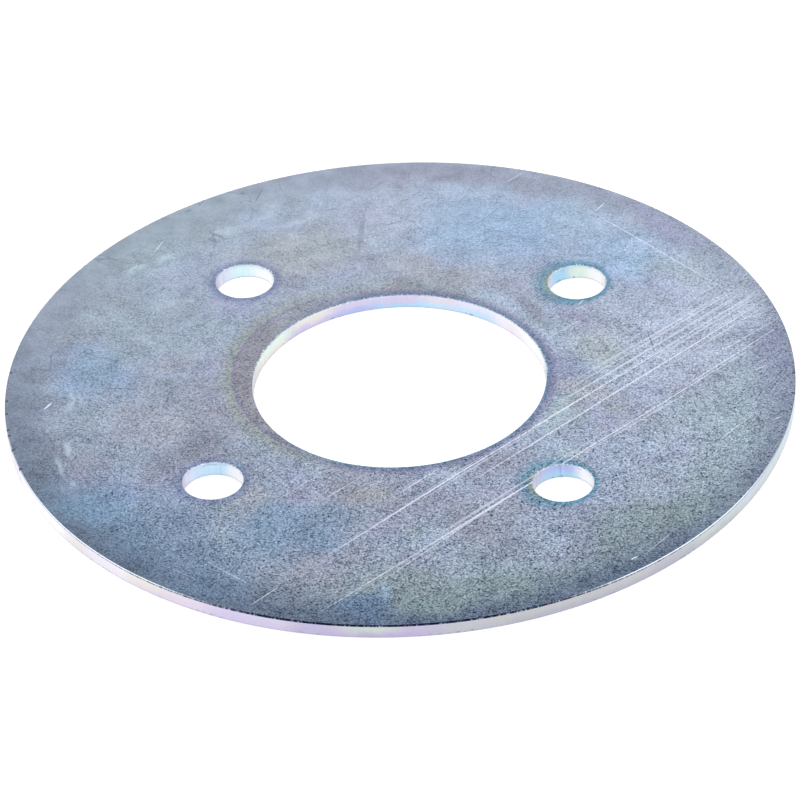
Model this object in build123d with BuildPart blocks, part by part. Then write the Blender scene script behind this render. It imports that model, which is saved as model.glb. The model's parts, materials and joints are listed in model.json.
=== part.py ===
from build123d import *

import os

# Round mounting plate for a garden machine.
#
# The plate is one blank, cut from flat sheet steel: a disc with a large central
# bore and a ring of bolt holes. Every cut edge is lightly broken before plating,
# the rim a little more on the upper face.
#
# The origin is the centre of the bore on the lower face, and +Z is the plate's axis.
# Lengths are in millimetres, angles in degrees.

# Driving dimensions
outer_diameter = 160.0
sheet_thickness = 3.0
bore_diameter = 59.5
bolt_circle_diameter = 98.0
bolt_hole_diameter = 12.0
bolt_hole_count = 4
first_bolt_hole_angle = 45.0
rim_upper_edge_radius = 0.15
rim_lower_edge_radius = 0.1
hole_edge_radius = 0.1

os.makedirs("parts", exist_ok=True)

# Mounting plate: the blank's outline, its thickness, then its broken edges
with BuildPart() as mounting_plate:
    with BuildSketch(Plane.XY) as blank_outline:
        Circle(outer_diameter / 2)
        Circle(bore_diameter / 2, mode=Mode.SUBTRACT)
        with PolarLocations(bolt_circle_diameter / 2, bolt_hole_count, first_bolt_hole_angle):
            Circle(bolt_hole_diameter / 2, mode=Mode.SUBTRACT)
    extrude(amount=sheet_thickness)

    cut_edges = mounting_plate.edges().filter_by(GeomType.CIRCLE).sort_by(SortBy.RADIUS)
    rim_edges = cut_edges[-2:].sort_by(Axis.Z)
    fillet(rim_edges[-1], rim_upper_edge_radius)
    fillet(rim_edges[0], rim_lower_edge_radius)
    fillet(cut_edges[:-2], hole_edge_radius)

mounting_plate.part.label = "mounting_plate"
export_step(mounting_plate.part, "parts/mounting_plate.step")
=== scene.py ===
"""Zinc-plated mounting plate, lying on a pale floor.

The plate is one piece of sheet steel. Its mesh is worked out from the sizes in the
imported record: six rims, each a rounded edge profile carried round a circle, and two
flat faces that close the sheet between them. One finish dresses the plated faces and
another the cut edges. The mesh and the studio are in metres, the finishes in millimetres.
"""

import json
import logging
import math
from dataclasses import dataclass
from enum import Enum, IntEnum
from typing import NamedTuple

import bmesh
import bpy
import numpy as np
from bpy.types import Material, NodeSocket, NodeTree, Object
from mathutils import Matrix, Vector


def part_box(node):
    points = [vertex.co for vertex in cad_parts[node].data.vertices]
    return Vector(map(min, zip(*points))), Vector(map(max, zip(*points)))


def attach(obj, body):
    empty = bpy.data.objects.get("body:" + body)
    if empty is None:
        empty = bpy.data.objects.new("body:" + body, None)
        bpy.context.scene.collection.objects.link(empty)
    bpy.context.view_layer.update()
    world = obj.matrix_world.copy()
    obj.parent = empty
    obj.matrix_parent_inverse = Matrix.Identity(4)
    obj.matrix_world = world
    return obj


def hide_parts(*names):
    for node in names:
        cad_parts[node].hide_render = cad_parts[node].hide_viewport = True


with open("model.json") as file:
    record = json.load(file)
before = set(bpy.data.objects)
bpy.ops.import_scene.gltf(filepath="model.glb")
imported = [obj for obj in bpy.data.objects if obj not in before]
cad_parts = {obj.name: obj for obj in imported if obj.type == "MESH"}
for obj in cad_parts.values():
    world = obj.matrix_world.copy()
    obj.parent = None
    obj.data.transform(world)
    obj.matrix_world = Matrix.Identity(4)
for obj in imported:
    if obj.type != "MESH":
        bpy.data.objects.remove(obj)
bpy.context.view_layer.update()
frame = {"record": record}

log = logging.getLogger("mounting_plate")

MM = 0.001
PER_MM = 1000.0
WHITE = (1.0, 1.0, 1.0, 1.0)

# A noise node's middle value, and the height that a bump of one stands for
NOISE_MIDDLE = 0.5
RELIEF = 0.03 * MM

# Setting of a range node that eases in and out
SMOOTH = {"interpolation_type": "SMOOTHSTEP"}

# Sockets of a colour Mix node, which also has hidden sockets for numbers and vectors
MIX_FACTOR, MIX_A, MIX_B, MIX_RESULT = 0, 6, 7, 2

Colour = tuple[float, float, float, float]
Point = tuple[float, float]
Layer = tuple[NodeSocket, "NodeSocket | str"]
Stops = tuple[tuple[float, str], ...]
Inputs = dict[int | str, object]


def linear(code: str) -> Colour:
    """Turn an sRGB hex colour into linear light.

    Args:
        code: The colour as "#RRGGBB".

    Returns:
        Red, green, blue and an alpha of one.
    """
    srgb = np.array([int(code[i:i + 2], 16) for i in (1, 3, 5)]) / 255
    light = np.where(srgb <= 0.04045, srgb / 12.92, ((srgb + 0.055) / 1.055) ** 2.4)
    return (*map(float, light), 1.0)


def add_node(tree: NodeTree, kind: str, inputs: Inputs | None = None, output: int | str = 0,
             stops: Stops = (), **settings: object) -> NodeSocket:
    """Add a shader node with its settings and links.

    Args:
        tree: The node tree that takes the node.
        kind: The node's type without its prefix, such as "Math".
        inputs: Input socket, by name or number, to a value or to the socket that feeds it.
        output: The output wanted, by name or number.
        stops: Position and hex colour of each stop, where the node is a colour ramp.
        settings: The node's own properties.

    Returns:
        The output socket.
    """
    node = tree.nodes.new("ShaderNode" + kind)
    for name, value in settings.items():
        setattr(node, name, value)
    for number, (position, code) in enumerate(stops):
        ramp = node.color_ramp.elements
        element = ramp[number] if number < len(ramp) else ramp.new(position)
        element.position = position
        element.color = linear(code)
    for key, value in (inputs or {}).items():
        if isinstance(value, NodeSocket):
            tree.links.new(value, node.inputs[key])
        else:
            node.inputs[key].default_value = value
    return node.outputs[output]


def paint(tree: NodeTree, ground: NodeSocket | str, layers: list[Layer]) -> NodeSocket:
    """Lay coats of colour over each other.

    Args:
        tree: The material's node tree.
        ground: The ground colour, as a socket or a hex code.
        layers: Share from 0 to 1 and colour of each coat, from the lowest up.

    Returns:
        The colour on top.
    """
    colour = ground
    for share, tint in layers:
        below, above = (linear(coat) if isinstance(coat, str) else coat for coat in (colour, tint))
        inputs = {MIX_FACTOR: share, MIX_A: below, MIX_B: above}
        colour = add_node(tree, "Mix", inputs, MIX_RESULT, data_type="RGBA")
    return colour


def overlap(tree: NodeTree, cover: NodeSocket, *others: NodeSocket | float) -> NodeSocket:
    """Cover a place only as far as all the given covers do, which is their product.

    Args:
        tree: The material's node tree.
        cover: One cover.
        others: The others.

    Returns:
        The cover that they share.
    """
    for other in others:
        cover = add_node(tree, "Math", {0: cover, 1: other}, operation="MULTIPLY")
    return cover


def oval_share(tree: NodeTree, place: NodeSocket, middle: Point, half_size: Point, turn: float,
               fade: float, strength: float) -> NodeSocket:
    """Cover an oval patch of a surface.

    In the oval's own frame it is a unit disc, and the cover is one minus the distance
    from its middle, raised so that it is full from the fade share inwards.

    Args:
        tree: The material's node tree.
        place: Place on the surface.
        middle: Centre of the oval.
        half_size: Half its length and half its width.
        turn: Angle of its length from +X, in radians.
        fade: Share of the radius over which the cover rises from nothing.
        strength: The full cover.

    Returns:
        The cover, from 0 to the strength.
    """
    own = add_node(tree, "Mapping", {
        "Vector": place, "Location": (*middle, 0), "Rotation": (0, 0, turn), "Scale": (*half_size, 1),
    }, vector_type="TEXTURE")
    disc = add_node(tree, "TexGradient", {0: own}, "Fac", gradient_type="SPHERICAL")
    return add_node(tree, "MapRange", Fade(0.0, fade, high=strength).of(disc), **SMOOTH)


def new_metal(name: str) -> Material:
    """Make a bare metal.

    Args:
        name: The material's name.

    Returns:
        A material whose shader has nothing linked to it.
    """
    material = bpy.data.materials.new(name)
    material.use_nodes = True
    material.node_tree.nodes["Principled BSDF"].inputs["Metallic"].default_value = 1.0
    return material


def join_finish(tree: NodeTree, colour: NodeSocket, roughness: NodeSocket, height: NodeSocket,
                depth: float) -> None:
    """Link a finish to its shader.

    Args:
        tree: The material's node tree.
        colour: Colour of the metal.
        roughness: Its roughness.
        height: Its relief.
        depth: Strength of the relief, from 0 to 1.
    """
    bump = add_node(tree, "Bump", {"Height": height, "Strength": depth, "Distance": RELIEF})
    shader = tree.nodes["Principled BSDF"]
    for name, socket in (("Base Color", colour), ("Roughness", roughness), ("Normal", bump)):
        tree.links.new(socket, shader.inputs[name])


@dataclass(frozen=True)
class Pattern:
    """A random pattern.

    Attributes:
        size_mm: Size of its largest spots.
        detail: Number of finer scales on them.
        roughness: Strength of each finer scale.
        distortion: How much it curls.
    """

    size_mm: float
    detail: float
    roughness: float = 0.5
    distortion: float = 0.0

    def at(self, place: NodeSocket) -> Inputs:
        """Inputs of a noise node that draws the pattern at a place."""
        return {"Vector": place, "Scale": 1 / self.size_mm, "Detail": self.detail,
                "Roughness": self.roughness, "Distortion": self.distortion}


@dataclass(frozen=True)
class Fade:
    """A change from one number to another.

    Attributes:
        start: Value at which it starts.
        end: Value at which it ends.
        low: The number before its start.
        high: The number past its end.
    """

    start: float | NodeSocket
    end: float | NodeSocket
    low: float | NodeSocket = 0.0
    high: float | NodeSocket = 1.0

    def of(self, value: NodeSocket) -> Inputs:
        """Inputs of a range node that fades with a value."""
        return {"Value": value, "From Min": self.start, "From Max": self.end,
                "To Min": self.low, "To Max": self.high}


@dataclass(frozen=True)
class Slope:
    """A number that changes evenly across the plate.

    Attributes:
        level: The number at the plate's centre.
        right: Change for each millimetre to the right.
        back: Change for each millimetre to the back.
    """

    level: float
    right: float
    back: float

    def at(self, tree: NodeTree, flat: NodeSocket) -> NodeSocket:
        """Work the number out at a place.

        Args:
            tree: The material's node tree.
            flat: Place seen from above.

        Returns:
            The number there.
        """
        change = (self.right, self.back, 0)
        rise = add_node(tree, "VectorMath", {0: flat, 1: change}, "Value", operation="DOT_PRODUCT")
        return add_node(tree, "Math", {0: rise, 1: self.level}, operation="ADD")


class Wander(NamedTuple):
    """A random shift of places: its pattern, and how far it moves them."""

    pattern: Pattern
    reach_mm: float


class Tint(Enum):
    """Tints of the passivated film: the darker ones on the faces, the paler ones on the cut edges."""

    DEEP_BLUE = "#6480A4"
    SLATE_BLUE = "#748CA8"
    SAGE = "#87999D"
    PEWTER = "#8C91A2"
    TEAL_BLUE = "#7A9AB8"
    VIOLET_GREY = "#8F94B3"
    MAUVE = "#9A9BB2"
    CORNFLOWER = "#82A2C8"
    STONE = "#9E9FA5"
    LILAC = "#A09FC4"
    DOVE = "#A8A9B4"
    MIST = "#9FB0BC"
    ASH = "#ABB4BA"
    SKY_BLUE = "#9DB9D8"
    PALE_BLUE = "#B2BCD2"
    ICE_BLUE = "#BCCFEC"
    STEEL = "#B2B3BD"
    SILVER = "#BABCC0"
    THISTLE = "#BAB1D1"
    CELADON = "#C2CCC9"
    PERIWINKLE = "#B2BCEA"
    CLOUD_BLUE = "#C1D0DC"
    AZURE = "#ACD6EE"
    LAVENDER = "#CCC4E2"
    SKY = "#C2E0F4"
    CREAM = "#E1DED9"
    BLUSH = "#DED4E3"
    MINT = "#DDEDE2"
    FROST = "#DDE0F4"
    AQUA = "#D8F1F6"
    ROSE_WHITE = "#EDE8F1"
    PEARL = "#FAF9FC"


@dataclass(frozen=True)
class Streak:
    """A long thin mark on a face: a scratch, a scuff or a drip.

    Attributes:
        start: One end, from the plate's centre.
        end: The other end.
        width_mm: Width at its middle.
        strength: How much of the mark's colour shows, from 0 to 1.
    """

    start: Point
    end: Point
    width_mm: float
    strength: float

    def share(self, tree: NodeTree, place: NodeSocket, fade: float) -> NodeSocket:
        """Cover the streak, as a long thin oval.

        Args:
            tree: The material's node tree.
            place: Place on the face.
            fade: Share of its half width over which it fades.

        Returns:
            The streak's cover.
        """
        middle = ((self.start[0] + self.end[0]) / 2, (self.start[1] + self.end[1]) / 2)
        half_size = (math.dist(self.start, self.end) / 2, self.width_mm / 2)
        turn = math.atan2(self.end[1] - self.start[1], self.end[0] - self.start[0])
        return oval_share(tree, place, middle, half_size, turn, fade, self.strength)


class Sheaf(NamedTuple):
    """An oval sheaf of hairline scratches: centre, half length and half width, and strength."""

    middle: Point
    half_size: Point
    strength: float


class Cloud(NamedTuple):
    """A soft patch of another tint in the passivated film.

    Attributes:
        middle: Centre.
        half_size: Half its length and half its width.
        turn: Angle of its length from +X, in degrees.
        tint: The film's tint there.
        strength: How much of the tint shows at its middle.
    """

    middle: Point
    half_size: Point
    turn: float
    tint: Tint
    strength: float


class EdgeFilm(NamedTuple):
    """A stretch of the cut edge where the film has other tints.

    Attributes:
        middle: Centre, seen from above.
        reach_mm: How far it reaches along the edge.
        upper: Tint at the top of the cut.
        lower: Tint at its foot.
        strength: How much of the tints shows at its middle.
    """

    middle: Point
    reach_mm: float
    upper: Tint
    lower: Tint
    strength: float


SCRATCHES = (
    # the long pair that runs from the right rim past a bolt hole to the front rim
    Streak((-13.5, -79.5), (78.6, 19.3), 0.34, 0.75),
    Streak((-1.0, -68.3), (27.4, -35.4), 0.32, 0.50),
    Streak((36.5, -26.4), (62.0, -0.6), 0.37, 0.50),
    Streak((58.0, -1.8), (76.4, 18.8), 0.35, 0.70),
    # the sheaf that skirts the bore
    Streak((-15.6, -64.0), (73.4, 33.1), 0.34, 0.85),
    Streak((14.4, -36.8), (76.6, 31.7), 0.37, 0.85),
    Streak((30.6, -7.4), (67.8, 32.8), 0.32, 0.55),
    Streak((31.9, -8.9), (52.0, 13.2), 0.29, 0.45),
    Streak((47.0, 11.6), (70.2, 36.0), 0.29, 0.50),
    Streak((50.0, 10.4), (71.6, 33.0), 0.27, 0.45),
    Streak((26.9, -17.4), (38.0, -5.2), 0.29, 0.50),
    Streak((62.0, 16.6), (73.4, 28.8), 0.29, 0.60),
    Streak((61.0, 12.9), (74.2, 26.6), 0.27, 0.60),
    Streak((64.2, 22.6), (72.8, 31.6), 0.28, 0.55),
    Streak((66.4, 20.0), (75.0, 24.8), 0.28, 0.50),
    Streak((55.6, 19.4), (69.0, 33.6), 0.26, 0.45),
    Streak((60.2, 5.6), (76.8, 22.2), 0.28, 0.50),
    Streak((56.4, 26.0), (66.6, 37.4), 0.26, 0.40),
    Streak((40.6, -2.0), (58.4, 17.4), 0.26, 0.45),
    # single ones in front of the bore
    Streak((2.5, -38.2), (10.2, -30.0), 0.34, 0.75),
    Streak((9.8, -33.2), (14.5, -28.2), 0.29, 0.35),
    Streak((-23.1, -42.5), (-12.5, -31.0), 0.29, 0.42),
    Streak((-15.0, -43.1), (-3.7, -31.2), 0.29, 0.40),
    Streak((-6.0, -39.0), (-2.0, -34.7), 0.29, 0.30),
    # short ones near the front rim
    Streak((-23.7, -74.0), (-18.4, -67.8), 0.30, 0.55),
    Streak((-33.9, -59.9), (-23.9, -68.0), 0.32, 0.40),
    Streak((-41.4, -61.9), (-34.5, -66.2), 0.29, 0.30),
    Streak((48.7, -59.0), (50.1, -57.9), 0.45, 0.90),
    Streak((51.2, -57.5), (56.6, -50.0), 0.29, 0.35),
    # the right edge
    Streak((65.0, -20.5), (73.0, -9.9), 0.32, 0.48),
    Streak((71.6, 3.2), (74.5, 5.5), 0.34, 0.60),
    Streak((75.3, -13.7), (77.7, -11.9), 0.32, 0.60),
    # the long faint one at the back right, with its tick
    Streak((34.2, 63.3), (67.4, 30.1), 0.40, 0.50),
    Streak((37.3, 61.2), (39.3, 64.6), 0.37, 0.75),
    Streak((17.9, 72.1), (21.6, 76.2), 0.34, 0.45),
    Streak((28.6, 13.9), (36.0, 21.6), 0.30, 0.42),
    Streak((35.0, 26.6), (36.4, 28.5), 0.32, 0.70),
    Streak((41.0, 27.4), (47.2, 31.6), 0.29, 0.25),
    # the left edge
    Streak((-71.5, -11.2), (-70.0, -8.4), 0.42, 1.00),
    Streak((-54.8, 45.3), (-53.2, 49.8), 0.32, 0.60),
)

SHEAVES = (
    # hairlines beside the long scratches
    Sheaf((54.0, 12.0), (32.0, 11.0), 0.75),
    Sheaf((50.0, 6.0), (32.0, 5.0), 0.90),
    Sheaf((32.0, -30.0), (64.0, 1.9), 0.60),
    Sheaf((45.5, -2.5), (42.0, 2.6), 0.90),
    Sheaf((29.0, -15.5), (60.0, 1.6), 0.60),
)

DARK_SCUFFS = (
    Streak((51.4, 9.5), (49.4, 18.6), 0.50, 0.65),
    Streak((48.4, 15.1), (48.4, 18.4), 0.42, 0.45),
    Streak((33.5, -19.2), (32.7, -16.8), 0.56, 0.85),
    Streak((37.4, -17.8), (38.0, -17.7), 0.66, 0.90),
    Streak((26.9, 32.0), (27.5, 32.2), 0.76, 0.85),
    Streak((34.4, 2.6), (36.2, 0.4), 0.40, 0.50),
    Streak((43.4, -14.2), (43.1, -9.2), 0.46, 0.45),
    Streak((-3.9, -67.6), (-1.5, -51.9), 0.46, 0.42),
    Streak((-35.5, 63.2), (-33.9, 70.7), 0.36, 0.50),
    Streak((-33.3, -24.3), (-32.9, -25.2), 0.56, 0.75),
    Streak((19.4, -63.6), (23.8, -68.2), 0.42, 0.40),
    Streak((-61.6, -3.7), (-53.0, -3.4), 0.56, 0.34),
    Streak((-7.6, 55.2), (-2.4, 57.7), 0.50, 0.40),
    Streak((-11.9, 44.0), (-11.5, 63.0), 1.80, 0.25),
)

DRIP_STAINS = (
    # pale runs left by the rinse, along the left and back-left of the plate
    Streak((-60.6, 36.4), (-55.2, 41.0), 3.0, 0.60),
    Streak((-54.8, 40.8), (-48.8, 46.0), 3.6, 0.46),
    Streak((-44.0, 50.6), (-36.6, 55.8), 6.0, 0.40),
    Streak((-33.4, 53.2), (-18.8, 59.8), 2.6, 0.46),
    Streak((-34.2, 57.3), (-30.2, 60.8), 3.0, 0.34),
    Streak((-66.8, -2.4), (-65.7, -13.0), 2.2, 0.56),
    Streak((-64.4, -3.4), (-63.7, -10.6), 2.0, 0.38),
    Streak((-65.6, -20.6), (-63.6, -28.6), 2.2, 0.58),
    Streak((-67.2, -25.8), (-64.2, -34.0), 2.4, 0.50),
    Streak((-62.2, -33.6), (-61.3, -37.4), 2.0, 0.38),
    Streak((-47.4, 28.2), (-44.2, 26.8), 2.2, 0.34),
    Streak((-70.2, -17.6), (-69.0, -18.6), 1.8, 0.40),
    Streak((-15.6, -62.2), (-12.4, -60.8), 1.8, 0.34),
)

CLOUDS = (
    # back and back right: sky blue round the hole, lilac along the rim
    Cloud((0.0, 60.0), (28.0, 15.0), 0, Tint.PALE_BLUE, 0.60),
    Cloud((18.0, 55.0), (27.0, 19.0), 0, Tint.SKY_BLUE, 0.75),
    Cloud((42.0, 43.0), (17.0, 15.0), 40, Tint.SKY_BLUE, 0.70),
    Cloud((26.5, 60.0), (5.5, 13.0), 0, Tint.SKY_BLUE, 0.40),
    Cloud((45.5, 46.0), (5.0, 4.5), 0, Tint.ICE_BLUE, 0.50),
    Cloud((50.0, 58.0), (28.0, 6.5), -45, Tint.LILAC, 0.40),
    Cloud((4.0, 73.5), (32.0, 8.5), 0, Tint.MAUVE, 0.60),
    # back left: beige by the hole, grey green along the rim
    Cloud((-24.0, 48.0), (22.0, 13.0), 0, Tint.ASH, 0.75),
    Cloud((4.0, 37.5), (21.0, 8.0), 0, Tint.DOVE, 0.65),
    Cloud((-54.0, 52.0), (36.0, 11.0), 45, Tint.MIST, 0.65),
    Cloud((-62.0, 24.0), (16.0, 23.0), 0, Tint.MIST, 0.50),
    # left: blue spots on blue grey, a little pink between
    Cloud((-50.0, 22.0), (14.0, 10.0), 0, Tint.MIST, 0.50),
    Cloud((-45.0, 9.0), (10.0, 7.0), 0, Tint.DOVE, 0.45),
    Cloud((-62.0, 1.0), (12.0, 14.0), 0, Tint.CORNFLOWER, 0.45),
    Cloud((-47.0, -14.0), (15.0, 11.0), 0, Tint.DOVE, 0.50),
    Cloud((-40.0, -26.0), (13.0, 9.0), 0, Tint.PEWTER, 0.72),
    # front left: teal blue
    Cloud((-52.0, -43.0), (22.0, 15.0), -40, Tint.TEAL_BLUE, 0.70),
    Cloud((-37.0, -60.0), (26.0, 12.0), -32, Tint.SLATE_BLUE, 0.70),
    Cloud((-18.0, -52.0), (16.0, 12.0), 20, Tint.TEAL_BLUE, 0.65),
    Cloud((-28.0, -42.0), (10.0, 7.0), 0, Tint.STONE, 0.55),
    # front: beige and violet by the bore, grey green before the rim
    Cloud((5.0, -43.0), (13.0, 9.0), 0, Tint.MAUVE, 0.60),
    Cloud((-5.0, -38.0), (11.0, 6.5), 10, Tint.STONE, 0.70),
    Cloud((20.0, -28.0), (13.0, 6.5), 35, Tint.MAUVE, 0.65),
    Cloud((22.0, -52.0), (13.0, 10.0), 0, Tint.PEWTER, 0.60),
    Cloud((12.0, -67.0), (34.0, 10.0), 8, Tint.SAGE, 0.70),
    Cloud((-1.5, -74.0), (9.0, 5.5), 0, Tint.DEEP_BLUE, 0.60),
    Cloud((2.6, -70.2), (3.8, 6.0), 20, Tint.SKY_BLUE, 0.45),
    # front right: violet, then the grey-green arc
    Cloud((44.0, -49.0), (15.0, 9.0), 40, Tint.VIOLET_GREY, 0.60),
    Cloud((52.0, -46.0), (30.0, 10.0), 48, Tint.SAGE, 0.78),
    Cloud((66.0, -16.0), (14.0, 32.0), -8, Tint.MIST, 0.80),
    # right: pale, with olive and pink by the bore and violet along the rim
    Cloud((58.0, 22.0), (28.0, 19.0), 30, Tint.PALE_BLUE, 0.75),
    Cloud((50.0, 4.0), (17.0, 12.0), 40, Tint.PALE_BLUE, 0.65),
    Cloud((38.0, 12.5), (10.0, 9.0), 0, Tint.ASH, 0.75),
    Cloud((23.5, 24.0), (12.0, 4.5), -45, Tint.PEWTER, 0.70),
    Cloud((3.0, 33.0), (12.0, 4.5), 0, Tint.PEWTER, 0.45),
    Cloud((33.0, 0.0), (6.5, 13.0), 0, Tint.VIOLET_GREY, 0.60),
    Cloud((36.5, -4.0), (6.5, 5.0), 0, Tint.DOVE, 0.60),
    Cloud((44.5, -9.0), (9.0, 6.5), 30, Tint.ASH, 0.60),
    Cloud((76.0, 4.0), (6.5, 28.0), 0, Tint.VIOLET_GREY, 0.45),
)

EDGE_FILMS = (
    # outer rim, from the left round the front to the right
    EdgeFilm((-76.0, -25.0), 22.0, Tint.ROSE_WHITE, Tint.ROSE_WHITE, 0.85),
    EdgeFilm((-68.0, -42.0), 17.0, Tint.PEARL, Tint.PEARL, 0.90),
    EdgeFilm((-52.0, -61.0), 14.0, Tint.ROSE_WHITE, Tint.ROSE_WHITE, 0.85),
    EdgeFilm((-43.0, -67.5), 10.0, Tint.CREAM, Tint.BLUSH, 0.85),
    EdgeFilm((-33.0, -73.0), 13.0, Tint.BLUSH, Tint.BLUSH, 0.85),
    EdgeFilm((-24.0, -76.3), 13.0, Tint.LAVENDER, Tint.LAVENDER, 0.85),
    EdgeFilm((-10.0, -79.3), 9.0, Tint.THISTLE, Tint.THISTLE, 0.80),
    EdgeFilm((1.0, -80.0), 10.0, Tint.CELADON, Tint.THISTLE, 0.95),
    EdgeFilm((10.0, -79.4), 8.0, Tint.THISTLE, Tint.THISTLE, 0.85),
    EdgeFilm((22.0, -77.0), 15.0, Tint.SILVER, Tint.SILVER, 0.85),
    EdgeFilm((35.0, -72.0), 16.0, Tint.SILVER, Tint.STEEL, 0.90),
    EdgeFilm((47.0, -64.8), 14.0, Tint.SILVER, Tint.STEEL, 0.85),
    EdgeFilm((57.5, -55.6), 12.0, Tint.SILVER, Tint.STEEL, 0.85),
    EdgeFilm((66.0, -45.2), 13.0, Tint.CELADON, Tint.SILVER, 0.85),
    EdgeFilm((74.0, -30.4), 17.0, Tint.CLOUD_BLUE, Tint.CELADON, 0.85),
    EdgeFilm((79.4, -10.0), 17.0, Tint.CLOUD_BLUE, Tint.CLOUD_BLUE, 0.80),
    # far side of the bore, from left to right
    EdgeFilm((-27.2, 12.0), 11.0, Tint.MINT, Tint.CREAM, 0.95),
    EdgeFilm((-19.0, 22.9), 10.0, Tint.CREAM, Tint.LAVENDER, 0.85),
    EdgeFilm((-10.0, 28.0), 10.0, Tint.LAVENDER, Tint.PERIWINKLE, 0.85),
    EdgeFilm((0.0, 29.75), 11.0, Tint.LAVENDER, Tint.AZURE, 0.90),
    EdgeFilm((8.0, 28.7), 9.0, Tint.BLUSH, Tint.SKY, 0.85),
    EdgeFilm((16.0, 25.1), 9.0, Tint.FROST, Tint.SKY, 0.85),
    EdgeFilm((22.0, 20.0), 8.0, Tint.ROSE_WHITE, Tint.ROSE_WHITE, 0.85),
    EdgeFilm((27.2, 12.0), 10.0, Tint.PEARL, Tint.PEARL, 0.90),
    # far sides of the bolt holes: back left, back right, front left, front right
    EdgeFilm((-38.9, 38.9), 5.0, Tint.FROST, Tint.FROST, 0.85),
    EdgeFilm((-34.6, 40.6), 6.0, Tint.AQUA, Tint.AQUA, 0.95),
    EdgeFilm((-30.2, 38.7), 5.5, Tint.PEARL, Tint.PEARL, 0.95),
    EdgeFilm((28.9, 36.4), 4.0, Tint.BLUSH, Tint.BLUSH, 0.85),
    EdgeFilm((31.7, 39.9), 5.5, Tint.AZURE, Tint.AZURE, 0.95),
    EdgeFilm((35.6, 40.6), 4.5, Tint.MINT, Tint.MINT, 0.95),
    EdgeFilm((39.5, 38.2), 5.0, Tint.PEARL, Tint.PEARL, 0.95),
    EdgeFilm((-39.4, -31.0), 4.5, Tint.FROST, Tint.FROST, 0.85),
    EdgeFilm((-34.6, -28.6), 7.0, Tint.SKY, Tint.SKY, 0.95),
    EdgeFilm((-29.9, -31.0), 4.5, Tint.PEARL, Tint.PEARL, 0.90),
    EdgeFilm((29.9, -31.0), 4.5, Tint.LAVENDER, Tint.CLOUD_BLUE, 0.85),
    EdgeFilm((34.6, -28.6), 7.0, Tint.PERIWINKLE, Tint.AZURE, 0.95),
    EdgeFilm((39.4, -31.0), 4.5, Tint.PEARL, Tint.PEARL, 0.90),
)

# Angles of the small dark nicks in the rim, in degrees from +X
RIM_NICKS = (-2.9, 2.0, 178.8, 185.9, 189.1, 193.1, 194.5, 198.1, 202.9)


class Face(Enum):
    """The plate's two flat faces."""

    UPPER = "upper"
    LOWER = "lower"


class Rim(Enum):
    """Which way a rim's wall faces: away from its circle's centre, or towards it."""

    OUTSIDE = 1
    HOLE = -1


class Slot(IntEnum):
    """The plate's materials, in their order on the mesh."""

    UPPER_FACE = 0
    CUT_EDGE = 1
    LOWER_FACE = 2


class Places(NamedTuple):
    """Coordinates on a face.

    Attributes:
        flat: Place seen from above.
        straight: The same with a slight slow bend, for scratches.
        ragged: The same with a quick wander, for stains.
        loose: The same with a wide wander, for clouds.
        shifted: Flat place, moved apart for each face, for random patterns.
    """

    flat: NodeSocket
    straight: NodeSocket
    ragged: NodeSocket
    loose: NodeSocket
    shifted: NodeSocket


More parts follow.
